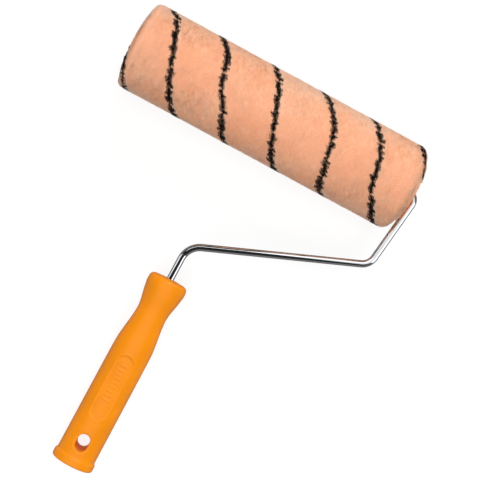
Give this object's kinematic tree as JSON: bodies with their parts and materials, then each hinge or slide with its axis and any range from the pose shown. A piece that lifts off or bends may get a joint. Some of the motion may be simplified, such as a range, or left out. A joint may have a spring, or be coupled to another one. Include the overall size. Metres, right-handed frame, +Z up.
{
  "type": "paint roller",
  "caption": "Hand paint roller: moulded handle with a hanging slot, bent wire frame, and a plush roller cover that spins on bearing plugs and pulls off.",
  "frame": {"origin": "centre of the bounding box's base, on the floor the tool lies on", "axes": "+Z up from the floor, +X along the roller's axis towards the wire's upright, +Y from the handle's butt to the roller; the tool lies on its pile and on its butt flange, so its flat plane is tipped 4.4 degrees about X"},
  "size_m": [0.2604, 0.3594, 0.0744],
  "materials": {
    "handle_plastic": "satin moulded polypropylene, orange",
    "plug_plastic": "satin moulded polypropylene, orange",
    "chromed_wire": "bright chrome plating",
    "plated_steel": "zinc plated spring steel",
    "core_plastic": "extruded off-white polypropylene tube",
    "pile": "sheared plush pile, peach with two black marker yarns"
  },
  "bodies": {
    "frame": {"handle": "handle_plastic", "wire_frame": "chromed_wire", "inner_stop_washer": "plated_steel", "outer_washer": "plated_steel", "push_nut": "plated_steel"},
    "bearings": {"inner_bearing_plug": "plug_plastic", "outer_bearing_plug": "plug_plastic"},
    "cover": {"core_tube": "core_plastic", "pile_cover": "pile"}
  },
  "joints": [
    {"name": "cover_spin", "type": "hinge", "parent": "frame", "child": "bearings", "pos_m": [-0.00519, 0.14255, 0.0372], "axis": [1, 0, 0], "continuous": true},
    {"name": "cover_pull_off", "type": "slide", "parent": "bearings", "child": "cover", "axis": [-1, 0, 0], "range_m": [0, 0.262]}
  ]
}
